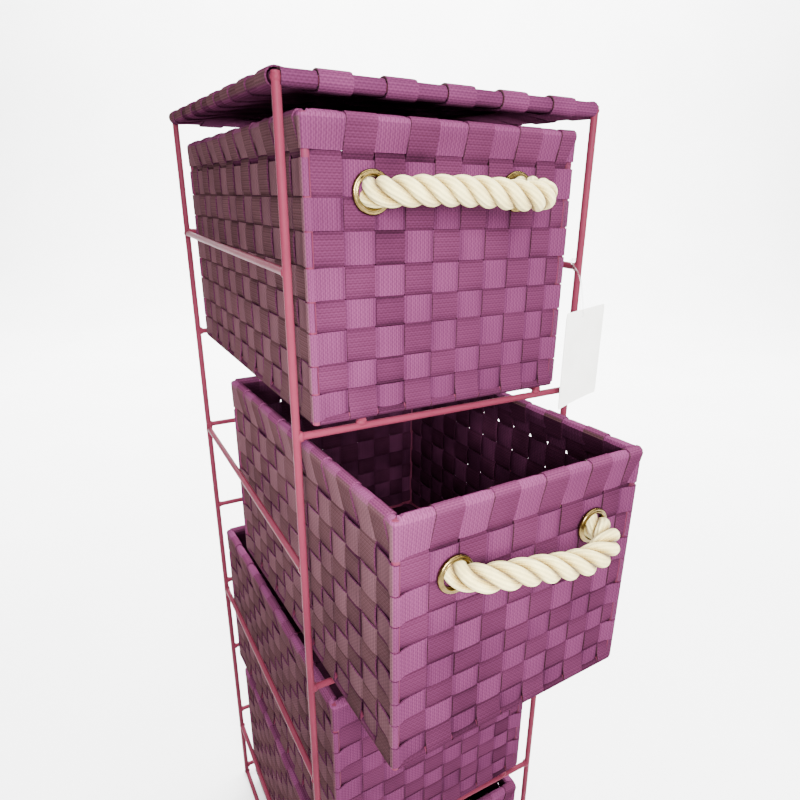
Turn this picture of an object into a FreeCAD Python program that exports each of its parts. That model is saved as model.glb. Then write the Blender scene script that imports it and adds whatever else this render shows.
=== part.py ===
import FreeCAD, Part
import os, math
from FreeCAD import Vector as V

os.makedirs("parts", exist_ok=True)

# ---------------------------------------------------------------- dimensions (mm)
POST_D = 4.2            # corner post wire
RAIL_D = 4.0            # horizontal wires of the stand
HALF_X = 90.0           # post axis, half width
HALF_Y = 121.5          # post axis, half depth
BAY = 161.3             # height of one bay
FRONT_RAIL_Z = 2.4      # axis of the lowest front wire
CROSS = 3.9             # axis-to-axis rise where one wire is welded over another
MID_RISE = 79.0         # rear middle wire above the rear lower wire
# side wires, bay one to bay four: height at the front and at the rear
LEFT_RAIL_Z = [(567.4, 571.7), (406.6, 408.2), (250.0, 241.5), (72.0, 69.0)]
RIGHT_RAIL_Z = [(562.7, 566.5), (406.6, 408.2), (250.0, 241.5), (72.0, 69.0)]
TOP_Z = 647.0           # axis of the top ring, front
TOP_RISE = 6.0          # rear of the ring above its front
RUNNER_X = [-54.0, 65.0]
TOP_T = 3.0             # woven top, between its ring wires

B_WIRE = 3.8            # wire of the drawer cages
B_W = 156.4             # cage outside width
B_D = 236.8             # cage outside depth
B_H = 141.6             # cage outside height
B_FRONT = -126.0        # cage front, drawer shut
B_GAP = 6.4             # cage bottom above the front wire axis
WEAVE_T = 2.6           # woven wall
DRAWER_X = [-5.3, -2.0, -4.6, -3.0]   # sideways play of each drawer
SKEW = [0.7, 2.4, 1.7, 0.6]           # turn of each loose drawer on its runners, degrees
PULL = [0.0, 70.0, 0.0, 0.0]          # how far each drawer stands out
PIVOT = 120.0                         # drawers turn about this point behind their front

EYE_HOLE_R = 7.0        # bore of the eyelet
EYE_BARREL_R = 7.7
EYE_FLANGE_R = 10.2
ROPE_D = 13.8
KNOT_R = 13.0

# eyelets of each drawer: from the middle of the front, and below the rim
EYES = [[(-45.3, 31.7), (39.5, 30.2)], [(-45.6, 36.4), (45.0, 37.2)], [(-45.2, 29.0), (44.6, 28.6)], [(-45.0, 33.8), (45.2, 34.2)]]
# rope route of each drawer: across, out of the front, up from its left eyelet
ROPE = [[(-45.3, -11.0, 0.0), (-45.3, 6.5, 0.0), (-28.0, 17.0, 1.0), (-9.0, 23.0, 1.2), (9.0, 28.2, 0.2),
         (24.0, 32.2, -0.9), (38.0, 26.0, -0.2), (41.0, 9.5, 2.8), (39.5, -7.5, 1.5)],
        [(-45.6, -11.0, 0.0), (-45.6, 5.5, 0.0), (-31.0, 14.2, 1.2), (-12.0, 18.0, 0.8), (7.5, 21.5, -1.6),
         (24.5, 22.6, -2.0), (39.5, 17.2, 0.4), (45.4, 3.5, -0.4), (45.0, -10.0, -0.8)],
        [(-45.2, -11.0, 0.0), (-45.2, 5.5, 0.0), (-30.4, 14.2, 0.8), (-10.4, 18.0, 1.0), (9.2, 20.4, 0.2),
         (25.4, 20.8, 0.0), (39.8, 14.8, 0.2), (45.2, 1.5, 0.4), (44.6, -11.0, 0.4)],
        [(-45.0, -11.0, 0.0), (-45.0, 5.7, 0.0), (-30.2, 15.2, 0.6), (-10.2, 20.0, 0.0), (9.6, 23.8, -1.6),
         (26.2, 24.0, -2.2), (40.8, 16.6, -1.6), (45.8, 1.6, -0.4), (45.2, -11.0, -0.4)]]

CARD_W, CARD_H, CARD_T = 52.0, 60.0, 0.5
CARD_X0, CARD_Y = 76.5, -129.9   # left edge of the card, at its front
CARD_Z0 = 477.0
CARD_TURN = 20.0        # degrees, right edge further back
CARD_HOLE = (20.8, 532.0)        # along the card, and up
LOOP_D = 0.8
LOCK = 2.0              # lock block of the loop

F = [FRONT_RAIL_Z + (3 - i) * BAY for i in range(4)]      # front wires
RUN = [f + CROSS for f in F]                              # runners
B = [f + 2 * CROSS for f in F]                            # rear lower wires
M = [b + MID_RISE for b in B]                             # rear middle wires


def rod(a, b, d):
    a, b = V(*a), V(*b)
    return Part.makeCylinder(d / 2.0, (b - a).Length, a, b - a)


def box(x0, x1, y0, y1, z0, z1):
    return Part.makeBox(x1 - x0, y1 - y0, z1 - z0, V(x0, y0, z0))


def save(name, shape):
    solids = shape.Solids
    s = solids[0] if len(solids) == 1 else Part.makeCompound(solids)
    s.exportStep("parts/%s.step" % name)
    print(name, len(solids), "solid(s)", round(sum(k.Volume for k in solids), 1), "mm3")


# ---------------------------------------------------------------- stand
posts = {}
for ny, sy in (("front", -1), ("rear", 1)):
    for nx, sx in (("left", -1), ("right", 1)):
        p = rod((sx * HALF_X, sy * HALF_Y, 0), (sx * HALF_X, sy * HALF_Y, TOP_Z + (TOP_RISE if sy > 0 else 0.0) + RAIL_D / 2.0), POST_D)
        posts[ny, nx] = p
        save("%s_%s_post" % (ny, nx), p)


def x_rail(sy, z):
    ny = "front" if sy < 0 else "rear"
    r = rod((-HALF_X, sy * HALF_Y, z), (HALF_X, sy * HALF_Y, z), RAIL_D)
    return r.cut(posts[ny, "left"]).cut(posts[ny, "right"])


def y_rail(sx, z, z_rear):
    nx = "left" if sx < 0 else "right"
    r = rod((sx * HALF_X, -HALF_Y, z), (sx * HALF_X, HALF_Y, z_rear), RAIL_D)
    return r.cut(posts["front", nx]).cut(posts["rear", nx])


def longest(shape):
    return max(shape.Solids, key=lambda k: k.Volume)


top_front = longest(x_rail(-1, TOP_Z))
top_rear = longest(x_rail(1, TOP_Z + TOP_RISE))
top_left = longest(y_rail(-1, TOP_Z, TOP_Z + TOP_RISE).cut(top_front).cut(top_rear))
top_right = longest(y_rail(1, TOP_Z, TOP_Z + TOP_RISE).cut(top_front).cut(top_rear))
save("top_front_rail", top_front)
save("top_rear_rail", top_rear)
save("top_left_rail", top_left)
save("top_right_rail", top_right)

half = math.hypot(HALF_Y, TOP_RISE / 2.0)
top = box(-HALF_X, HALF_X, -half, half, -TOP_T / 2.0, TOP_T / 2.0)
top.rotate(V(0, 0, 0), V(1, 0, 0), math.degrees(math.atan2(TOP_RISE / 2.0, HALF_Y)))
top.translate(V(0, 0, TOP_Z + TOP_RISE / 2.0))
for k in (top_front, top_rear, top_left, top_right):
    top = top.cut(k)
for k in posts.values():
    top = top.cut(k)
save("woven_top", longest(top))

for i in range(4):
    n = i + 1
    front = longest(x_rail(-1, F[i]))
    save("front_rail_%d" % n, front)
    save("rear_lower_rail_%d" % n, longest(x_rail(1, B[i])))
    save("rear_middle_rail_%d" % n, longest(x_rail(1, M[i])))
    save("left_side_rail_%d" % n, longest(y_rail(-1, *LEFT_RAIL_Z[i])))
    save("right_side_rail_%d" % n, longest(y_rail(1, *RIGHT_RAIL_Z[i])))
    pair = [rod((x, -HALF_Y - 1.6, RUN[i]), (x, HALF_Y + 1.6, RUN[i]), RAIL_D) for x in RUNNER_X]
    save("runner_pair_%d" % n, Part.makeCompound(pair))

low_front = longest(x_rail(-1, F[3]))
save("bottom_left_rail", longest(y_rail(-1, FRONT_RAIL_Z, FRONT_RAIL_Z).cut(low_front)))
save("bottom_right_rail", longest(y_rail(1, FRONT_RAIL_Z, FRONT_RAIL_Z).cut(low_front)))


# ---------------------------------------------------------------- rope route
def route(points, share=0.45):
    pts = [V(*p) for p in points]
    edges, radii, length = [], [], 0.0
    start = pts[0]
    for i in range(1, len(pts) - 1):
        a, b, c = pts[i - 1], pts[i], pts[i + 1]
        u, w = (b - a), (c - b)
        la, lb = u.Length, w.Length
        u, w = u / la, w / lb
        turn = u.getAngle(w)
        t = share * min(la, lb)
        r = t / math.tan(turn / 2.0)
        p0, p1 = b - u * t, b + w * t
        mid_dir = (w - u)
        mid_dir = mid_dir / mid_dir.Length
        centre = b + mid_dir * (r / math.cos(turn / 2.0))
        pm = centre - mid_dir * r
        edges.append(Part.LineSegment(start, p0).toShape())
        edges.append(Part.Arc(p0, pm, p1).toShape())
        radii.append((round(math.degrees(turn), 1), round(r, 1)))
        start = p1
    edges.append(Part.LineSegment(start, pts[-1]).toShape())
    wire = Part.Wire(edges)
    return wire, radii


def tube(points, d):
    wire, radii = route(points)
    p0, p1 = V(*points[0]), V(*points[1])
    circle = Part.Wire([Part.makeCircle(d / 2.0, p0, p1 - p0)])
    t = wire.makePipeShell([circle], True, False)
    t = Part.Solid(t.Shells[0]) if not t.Solids else t.Solids[0]
    if t.Volume < 0:
        t.reverse()
    return t, wire.Length, radii


# ---------------------------------------------------------------- drawers
def revolve(profile, centre):
    """profile: (radius, outwards) pairs; turned about an axis along the depth."""
    pts = [V(centre[0] + r, centre[1] - o, centre[2]) for r, o in profile]
    face = Part.Face(Part.makePolygon(pts + [pts[0]]))
    return face.revolve(V(*centre), V(0, 1, 0), 360)


r = B_WIRE / 2.0
for i in range(4):
    n = i + 1
    cx = DRAWER_X[i]
    yf = B_FRONT - PULL[i]
    z0 = F[i] + B_GAP
    z1 = z0 + B_H

    def put(name, shape):
        shape.rotate(V(cx, yf + PIVOT, 0), V(0, 0, 1), SKEW[i])
        save("drawer_%d_%s" % (n, name), shape)

    xa, xb = cx - B_W / 2.0 + r, cx + B_W / 2.0 - r
    ya, yb = yf + r, yf + B_D - r
    za, zb = z0 + r, z1 - r
    # cage: uprights, then rings between them
    ups = [rod((x, y, z0), (x, y, z1), B_WIRE + 0.2) for x in (xa, xb) for y in (ya, yb)]
    wires = list(ups)
    xr, yr = [], []
    for z in (za, zb):
        for y in (ya, yb):
            k = rod((xa, y, z), (xb, y, z), B_WIRE)
            for u in ups:
                k = k.cut(u)
            xr.append(longest(k))
    for z in (za, zb):
        for x in (xa, xb):
            k = rod((x, ya, z), (x, yb, z), B_WIRE)
            for u in ups + xr:
                k = k.cut(u)
            yr.append(longest(k))
    wires += xr + yr

    # eyelets and rope
    front_face = ya - WEAVE_T / 2.0
    spots = [(cx + a, z1 - drop) for a, drop in EYES[i]]
    nominal = front_face - 1.0            # face of the weave's high cells
    eyes, bores = [], []
    for x, ze in spots:
        c = (x, front_face, ze)
        prof = [(EYE_HOLE_R, 1.6), (EYE_HOLE_R + 0.7, 2.6), (EYE_HOLE_R + 1.7, 3.0), (EYE_FLANGE_R - 0.7, 2.4),
                (EYE_FLANGE_R, 1.4), (EYE_FLANGE_R, 0.0), (EYE_BARREL_R, 0.0), (EYE_BARREL_R, -WEAVE_T),
                (EYE_FLANGE_R - 0.6, -WEAVE_T), (EYE_FLANGE_R - 0.6, -WEAVE_T - 1.2), (EYE_HOLE_R, -WEAVE_T - 1.2)]
        eyes.append(revolve(prof, c))
        bores.append(rod((x, front_face - 5, ze), (x, front_face + 10, ze), 2 * EYE_BARREL_R))

    pts = [(cx + a, nominal - o, spots[0][1] + h) for a, o, h in ROPE[i]]
    rope, length, radii = tube(pts, ROPE_D)
    print("drawer", n, "rope length", round(length, 1), "volume ratio",
          round(rope.Volume / (math.pi * ROPE_D ** 2 / 4.0 * length), 4), "turn and radius", radii)
    knots = []
    for x, ze in spots:
        yk = front_face + WEAVE_T + 1.2       # back of the eyelet
        s = Part.makeSphere(KNOT_R, V(x, yk + KNOT_R - 2.0, ze))
        s = s.cut(box(x - 30, x + 30, yk - 30, yk, ze - 30, ze + 30))
        knots.append(longest(s.cut(rope)))

    # woven walls and floor between the wires
    t = WEAVE_T / 2.0
    walls = [box(xa, xb, ya - t, ya + t, za, zb), box(xa, xb, yb - t, yb + t, za, zb),
             box(xa - t, xa + t, ya, yb, za, zb), box(xb - t, xb + t, ya, yb, za, zb),
             box(xa, xb, ya, yb, za - t, za + t)]
    for k in bores:
        walls[0] = walls[0].cut(k)
    cut = []
    for w in walls:
        for k in wires:
            w = w.cut(k)
        cut.append(longest(w))
    put("wire_cage", Part.makeCompound(wires))
    put("eyelets", Part.makeCompound(eyes))
    put("rope_handle", rope)
    put("rope_knots", Part.makeCompound(knots))
    put("woven_basket", Part.makeCompound(cut))

# ---------------------------------------------------------------- swing tag
hole_x, hz = CARD_X0 + CARD_HOLE[0], CARD_HOLE[1]
card = box(CARD_X0, CARD_X0 + CARD_W, CARD_Y, CARD_Y + CARD_T, CARD_Z0, CARD_Z0 + CARD_H)
card = card.cut(rod((hole_x, CARD_Y - 1, hz), (hole_x, CARD_Y + 2, hz), 3.2))
card.rotate(V(CARD_X0, CARD_Y, 0), V(0, 0, 1), CARD_TURN)
save("swing_tag_card", card)
turn = math.radians(CARD_TURN)


def at_hole(out):
    """Point beside the card's hole, so far in front of its front face."""
    return (CARD_X0 + CARD_HOLE[0] * math.cos(turn) + out * math.sin(turn),
            CARD_Y + CARD_HOLE[0] * math.sin(turn) - out * math.cos(turn), hz + 0.9)


zr = RIGHT_RAIL_Z[0][0] + RAIL_D / 2.0 + LOCK / 2.0 + 0.6
back_y = -117.0
loop_pts = [(90.0 - LOCK / 2.0, back_y, zr), (86.6, back_y, zr), (86.6, -127.6, zr - 8.0), at_hole(1.1), at_hole(-CARD_T - 0.9),
            (94.2, -119.0, zr - 8.0), (93.4, back_y, zr), (90.0 + LOCK / 2.0, back_y, zr)]
loop, loop_length, loop_radii = tube(loop_pts, LOOP_D)
print("loop length", round(loop_length, 1), loop_radii)
lock = box(90.0 - LOCK / 2.0, 90.0 + LOCK / 2.0, back_y - LOCK / 2.0, back_y + LOCK / 2.0, zr - LOCK / 2.0, zr + LOCK / 2.0)
save("swing_tag_loop", Part.makeCompound([loop, lock]))
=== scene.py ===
import bpy, math, random
import numpy as np
from mathutils import Vector, Matrix


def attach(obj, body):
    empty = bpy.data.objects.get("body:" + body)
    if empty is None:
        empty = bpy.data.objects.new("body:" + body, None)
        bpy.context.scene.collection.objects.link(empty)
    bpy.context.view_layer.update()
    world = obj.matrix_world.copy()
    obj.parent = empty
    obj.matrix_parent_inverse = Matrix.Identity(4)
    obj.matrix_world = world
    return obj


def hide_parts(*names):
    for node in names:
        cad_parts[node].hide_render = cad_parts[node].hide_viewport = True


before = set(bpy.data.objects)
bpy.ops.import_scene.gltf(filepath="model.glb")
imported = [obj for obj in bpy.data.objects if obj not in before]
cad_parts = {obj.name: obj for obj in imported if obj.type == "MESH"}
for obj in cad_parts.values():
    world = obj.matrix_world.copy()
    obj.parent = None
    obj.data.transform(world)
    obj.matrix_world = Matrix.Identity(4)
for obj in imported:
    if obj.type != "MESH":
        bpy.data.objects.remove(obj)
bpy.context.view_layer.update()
random.seed(11)
rng = np.random.default_rng(11)
MM = 0.001

# ------------------------------------------------------------------ camera
# right, down and forward axes of the view, and its place (mm)
AX = np.array([[0.8715414, -0.49015414, 0.01282587],
               [-0.15823141, -0.30591677, -0.93881721],
               [0.4640888, 0.81618861, -0.34417691]])
EYE = np.array([-178.62, -396.2, 601.06])
cam = bpy.data.cameras.new("view_camera")
cam.sensor_fit = "HORIZONTAL"
cam.sensor_width = 36.0
cam.lens = 604.6 / 800.0 * 36.0
cam.shift_x = (400.0 - 413.24) / 800.0
cam.shift_y = (418.1 - 400.0) / 800.0
cam.clip_start, cam.clip_end = 0.01, 100.0
cam_obj = bpy.data.objects.new("view_camera", cam)
bpy.context.scene.collection.objects.link(cam_obj)
rot = Matrix((AX[0], -AX[1], -AX[2])).transposed()
cam_obj.matrix_world = Matrix.Translation(Vector(EYE * MM)) @ rot.to_4x4()
bpy.context.scene.camera = cam_obj

# ------------------------------------------------------------------ sizes shared with the CAD (mm)
HALF_X, HALF_Y, TOP_Z, TOP_RISE = 90.0, 121.5, 647.0, 6.0
FRONT = [2.4 + (3 - i) * 161.3 for i in range(4)]
B_W, B_D, B_H, B_WIRE = 156.4, 236.8, 141.6, 3.8
B_FRONT, B_GAP = -126.0, 6.4
DRAWER_X = [-5.3, -2.0, -4.6, -3.0]
SKEW = [0.7, 2.4, 1.7, 0.6]
PULL = [0.0, 70.0, 0.0, 0.0]
PIVOT = 120.0
WEAVE_T = 2.6
ROPE_D = 13.8
ROPE_LAY = [27.5, 32.5, 30.0, 30.0]
# eyelets of each drawer: from the middle of the front, and below the rim
EYES = [[(-45.3, 31.7), (39.5, 30.2)], [(-45.6, 36.4), (45.0, 37.2)], [(-45.2, 29.0), (44.6, 28.6)], [(-45.0, 33.8), (45.2, 34.2)]]
# rope routes: across, out of the front, up from the left eyelet
ROPE = [[(-45.3, -11.0, 0.0), (-45.3, 6.5, 0.0), (-28.0, 17.0, 1.0), (-9.0, 23.0, 1.2), (9.0, 28.2, 0.2),
         (24.0, 32.2, -0.9), (38.0, 26.0, -0.2), (41.0, 9.5, 2.8), (39.5, -7.5, 1.5)],
        [(-45.6, -11.0, 0.0), (-45.6, 5.5, 0.0), (-31.0, 14.2, 1.2), (-12.0, 18.0, 0.8), (7.5, 21.5, -1.6),
         (24.5, 22.6, -2.0), (39.5, 17.2, 0.4), (45.4, 3.5, -0.4), (45.0, -10.0, -0.8)],
        [(-45.2, -11.0, 0.0), (-45.2, 5.5, 0.0), (-30.4, 14.2, 0.8), (-10.4, 18.0, 1.0), (9.2, 20.4, 0.2),
         (25.4, 20.8, 0.0), (39.8, 14.8, 0.2), (45.2, 1.5, 0.4), (44.6, -11.0, 0.4)],
        [(-45.0, -11.0, 0.0), (-45.0, 5.7, 0.0), (-30.2, 15.2, 0.6), (-10.2, 20.0, 0.0), (9.6, 23.8, -1.6),
         (26.2, 24.0, -2.2), (40.8, 16.6, -1.6), (45.8, 1.6, -0.4), (45.2, -11.0, -0.4)]]


# ------------------------------------------------------------------ materials
def new_mat(name):
    m = bpy.data.materials.new(name)
    m.use_nodes = True
    nt = m.node_tree
    return m, nt, nt.nodes["Principled BSDF"]


def node(nt, kind, **inputs):
    n = nt.nodes.new(kind)
    for k, v in inputs.items():
        if hasattr(n, k):
            setattr(n, k, v)
        else:
            n.inputs[k.replace("_", " ")].default_value = v
    return n


def ramp(nt, fac, stops):
    r = nt.nodes.new("ShaderNodeValToRGB")
    el = r.color_ramp.elements
    el[0].position, el[0].color = stops[0][0], (*stops[0][1], 1)
    el[1].position, el[1].color = stops[-1][0], (*stops[-1][1], 1)
    for p, c in stops[1:-1]:
        e = el.new(p)
        e.color = (*c, 1)
    nt.links.new(fac, r.inputs["Fac"])
    return r


def math_node(nt, op, a, b=None, clamp=False):
    n = nt.nodes.new("ShaderNodeMath")
    n.operation = op
    n.use_clamp = clamp
    for i, v in enumerate((a, b)):
        if v is None:
            continue
        if isinstance(v, (int, float)):
            n.inputs[i].default_value = v
        else:
            nt.links.new(v, n.inputs[i])
    return n.outputs[0]


def mix_col(nt, kind, fac, a, b):
    n = nt.nodes.new("ShaderNodeMix")
    n.data_type = "RGBA"
    n.blend_type = kind
    for i, v in ((0, fac), (6, a), (7, b)):
        if isinstance(v, (int, float)):
            n.inputs[i].default_value = v
        elif isinstance(v, tuple):
            n.inputs[i].default_value = (*v, 1)
        else:
            nt.links.new(v, n.inputs[i])
    return n.outputs[2]


def strap_material(name, base, deep):
    """Ribbed plastic strap. UV is in metres: U along the strap, V across it."""
    m, nt, b = new_mat(name)
    uv = nt.nodes.new("ShaderNodeUVMap")
    uv.uv_map = "strap"
    sep = nt.nodes.new("ShaderNodeSeparateXYZ")
    nt.links.new(uv.outputs["UV"], sep.inputs[0])
    u, v = sep.outputs[0], sep.outputs[1]
    # cross ribs, 1.2 mm apart, broken into short slanted stitches across the width
    rib = math_node(nt, "SINE", math_node(nt, "MULTIPLY", u, 2 * math.pi / 0.0012))
    stitch_phase = math_node(nt, "MULTIPLY", v, 2 * math.pi / 0.0024)
    zig = math_node(nt, "MULTIPLY", math_node(nt, "SINE", stitch_phase), 1.5)
    rib2 = math_node(nt, "SINE", math_node(nt, "ADD", math_node(nt, "MULTIPLY", u, 2 * math.pi / 0.0024), zig))
    weave = math_node(nt, "ADD", math_node(nt, "MULTIPLY", rib, 0.55), math_node(nt, "MULTIPLY", rib2, 0.45))
    noise = nt.nodes.new("ShaderNodeTexNoise")
    tc = nt.nodes.new("ShaderNodeTexCoord")
    nt.links.new(tc.outputs["Object"], noise.inputs["Vector"])
    noise.inputs["Scale"].default_value = 38.0
    noise.inputs["Detail"].default_value = 4.0
    tone = nt.nodes.new("ShaderNodeAttribute")
    tone.attribute_name = "tone"
    # colour: random tone per strap and soft blotches; the per-face value also carries painted highlight and painted
    # shade (lighter where a strap bows out or rolls over a wire, darker where it dives or turns inside), up to the
    # brightest ramp stop
    f = math_node(nt, "ADD", math_node(nt, "MULTIPLY", noise.outputs["Fac"], 0.5), math_node(nt, "MULTIPLY", tone.outputs["Fac"], 0.5))
    col = ramp(nt, f, [(0.0, tuple(0.3 * x for x in deep)), (0.3, tuple(0.85 * x for x in deep)), (0.55, tuple(0.5 * (x + y) for x, y in zip(deep, base))),
                       (0.78, base), (1.0, tuple(1.3 * x for x in base))])
    # painted shade and highlight along the ribs: darker in their valleys, lighter on their tops
    rib_shade = math_node(nt, "MULTIPLY_ADD", weave, 0.28)
    rib_shade.node.inputs[2].default_value = 0.96
    shade = nt.nodes.new("ShaderNodeCombineColor")
    for i in range(3):
        nt.links.new(rib_shade, shade.inputs[i])
    # painted light: faces turned to the left or right are tinted browner than the fronts, for the dimmer, warmer light
    # that falls on the side walls; the per-face value keeps the tint off inside faces and off the painted highlight on
    # the rim roll
    geo = nt.nodes.new("ShaderNodeNewGeometry")
    face = nt.nodes.new("ShaderNodeSeparateXYZ")
    nt.links.new(geo.outputs["Normal"], face.inputs[0])
    outer = math_node(nt, "MULTIPLY_ADD", tone.outputs["Fac"], 5.0, clamp=True)
    outer.node.inputs[2].default_value = 1.3
    fold = math_node(nt, "MULTIPLY_ADD", tone.outputs["Fac"], -4.0, clamp=True)
    fold.node.inputs[2].default_value = 6.0
    side_light_mask = math_node(nt, "MULTIPLY_ADD", math_node(nt, "MULTIPLY", math_node(nt, "MULTIPLY", face.outputs[0], outer), fold), 0.5)
    side_light_mask.node.inputs[2].default_value = 0.5
    side_light_tint = ramp(nt, side_light_mask, [(0.035, (0.95, 1.80, 0.825)), (0.15, (1.0, 1.0, 1.0)), (0.88, (1.0, 1.0, 1.0)), (0.985, (1.02, 1.45, 0.95))])
    body = mix_col(nt, "MULTIPLY", 1.0, col.outputs["Color"], shade.outputs["Color"])
    nt.links.new(mix_col(nt, "MULTIPLY", 1.0, body, side_light_tint.outputs["Color"]), b.inputs["Base Color"])
    rough = math_node(nt, "MULTIPLY_ADD", noise.outputs["Fac"], 0.18)
    rough.node.inputs[2].default_value = 0.42
    nt.links.new(rough, b.inputs["Roughness"])
    bump = nt.nodes.new("ShaderNodeBump")
    bump.inputs["Strength"].default_value = 0.8
    bump.inputs["Distance"].default_value = 0.00007
    nt.links.new(weave, bump.inputs["Height"])
    nt.links.new(bump.outputs["Normal"], b.inputs["Normal"])
    b.inputs["Specular IOR Level"].default_value = 0.0
    return m


def wire_material(name, base, deep):
    """Powder coat: slight orange peel, thin spots and darker dirt in patches."""
    m, nt, b = new_mat(name)
    tc = nt.nodes.new("ShaderNodeTexCoord")
    big = node(nt, "ShaderNodeTexNoise", Scale=24.0, Detail=5.0, Roughness=0.6)
    fine = node(nt, "ShaderNodeTexNoise", Scale=900.0, Detail=2.0, Roughness=0.5)
    speck = node(nt, "ShaderNodeTexVoronoi", Scale=260.0)
    for n in (big, fine, speck):
        nt.links.new(tc.outputs["Object"], n.inputs["Vector"])
    col = ramp(nt, big.outputs["Fac"], [(0.32, deep), (0.62, base)])
    spot = ramp(nt, speck.outputs["Distance"], [(0.03, (0.72, 0.68, 0.68)), (0.085, (1.0, 1.0, 1.0))])
    nt.links.new(mix_col(nt, "MULTIPLY", 0.5, col.outputs["Color"], spot.outputs["Color"]), b.inputs["Base Color"])
    rough = math_node(nt, "MULTIPLY_ADD", fine.outputs["Fac"], 0.2)
    rough.node.inputs[2].default_value = 0.27
    nt.links.new(rough, b.inputs["Roughness"])
    bump = node(nt, "ShaderNodeBump", Strength=0.35, Distance=0.0002)
    nt.links.new(fine.outputs["Fac"], bump.inputs["Height"])
    nt.links.new(bump.outputs["Normal"], b.inputs["Normal"])
    b.inputs["Specular IOR Level"].default_value = 0.025
    return m


def rope_material():
    m, nt, b = new_mat("cotton_rope")
    uv = nt.nodes.new("ShaderNodeUVMap")
    uv.uv_map = "strap"
    sep = nt.nodes.new("ShaderNodeSeparateXYZ")
    nt.links.new(uv.outputs["UV"], sep.inputs[0])
    # yarns run along each strand with a slow twist of their own
    ang = math_node(nt, "ADD", math_node(nt, "MULTIPLY", sep.outputs[1], 2 * math.pi * 9),
                    math_node(nt, "MULTIPLY", sep.outputs[0], 2 * math.pi / 0.021))
    yarn = math_node(nt, "SINE", ang)
    tc = nt.nodes.new("ShaderNodeTexCoord")
    fuzz = node(nt, "ShaderNodeTexNoise", Scale=1400.0, Detail=3.0, Roughness=0.7)
    soft = node(nt, "ShaderNodeTexNoise", Scale=120.0, Detail=4.0, Roughness=0.6)
    for n in (fuzz, soft):
        nt.links.new(tc.outputs["Object"], n.inputs["Vector"])
    h = math_node(nt, "ADD", math_node(nt, "MULTIPLY", yarn, 0.34), math_node(nt, "MULTIPLY", fuzz.outputs["Fac"], 0.9))
    col = ramp(nt, soft.outputs["Fac"], [(0.3, (0.70, 0.575, 0.225)), (0.62, (0.84, 0.725, 0.32))])
    # painted shade: the colour is darkened in the valleys between yarns, mixed with fine random fuzz
    dark = math_node(nt, "MULTIPLY_ADD", h, 0.34)
    dark.node.inputs[2].default_value = 0.76
    shade = nt.nodes.new("ShaderNodeCombineColor")
    for i in range(3):
        nt.links.new(dark, shade.inputs[i])
    # painted shade: the grooves between the strands are darkened to a deep brown, darkest at the bottom of each groove
    out = nt.nodes.new("ShaderNodeAttribute")
    out.attribute_name = "tone"
    groove = ramp(nt, out.outputs["Fac"], [(0.56, (0.05, 0.028, 0.009)), (0.72, (0.20, 0.135, 0.05)), (0.84, (0.60, 0.51, 0.33)), (0.96, (1.0, 1.0, 1.0))])
    body = mix_col(nt, "MULTIPLY", 1.0, col.outputs["Color"], shade.outputs["Color"])
    nt.links.new(mix_col(nt, "MULTIPLY", 1.0, body, groove.outputs["Color"]), b.inputs["Base Color"])
    bump = node(nt, "ShaderNodeBump", Strength=0.9, Distance=0.0006)
    nt.links.new(h, bump.inputs["Height"])
    nt.links.new(bump.outputs["Normal"], b.inputs["Normal"])
    b.inputs["Roughness"].default_value = 0.92
    b.inputs["Specular IOR Level"].default_value = 0.15
    b.inputs["Sheen Weight"].default_value = 0.15
    b.inputs["Sheen Roughness"].default_value = 0.6
    return m


def brass_material():
    m, nt, b = new_mat("eyelet_brass")
    tc = nt.nodes.new("ShaderNodeTexCoord")
    n1 = node(nt, "ShaderNodeTexNoise", Scale=220.0, Detail=4.0, Roughness=0.65)
    n2 = node(nt, "ShaderNodeTexNoise", Scale=2200.0, Detail=2.0, Roughness=0.6)
    for n in (n1, n2):
        nt.links.new(tc.outputs["Object"], n.inputs["Vector"])
    col = ramp(nt, n1.outputs["Fac"], [(0.3, (0.075, 0.048, 0.013)), (0.6, (0.21, 0.148, 0.052))])
    nt.links.new(col.outputs["Color"], b.inputs["Base Color"])
    rough = math_node(nt, "MULTIPLY_ADD", n1.outputs["Fac"], 0.3)
    rough.node.inputs[2].default_value = 0.08
    nt.links.new(rough, b.inputs["Roughness"])
    bump = node(nt, "ShaderNodeBump", Strength=0.15, Distance=0.0001)
    nt.links.new(n2.outputs["Fac"], bump.inputs["Height"])
    nt.links.new(bump.outputs["Normal"], b.inputs["Normal"])
    b.inputs["Metallic"].default_value = 1.0
    return m


def card_material():
    m, nt, b = new_mat("tag_card")
    tc = nt.nodes.new("ShaderNodeTexCoord")
    n1 = node(nt, "ShaderNodeTexNoise", Scale=60.0, Detail=4.0, Roughness=0.6)
    n2 = node(nt, "ShaderNodeTexNoise", Scale=1500.0, Detail=3.0, Roughness=0.6)
    for n in (n1, n2):
        nt.links.new(tc.outputs["Object"], n.inputs["Vector"])
    col = ramp(nt, n1.outputs["Fac"], [(0.3, (0.86, 0.85, 0.80)), (0.65, (0.93, 0.92, 0.88))])
    nt.links.new(col.outputs["Color"], b.inputs["Base Color"])
    bump = node(nt, "ShaderNodeBump", Strength=0.2, Distance=0.0001)
    nt.links.new(n2.outputs["Fac"], bump.inputs["Height"])
    nt.links.new(bump.outputs["Normal"], b.inputs["Normal"])
    b.inputs["Roughness"].default_value = 0.7
    return m


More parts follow.
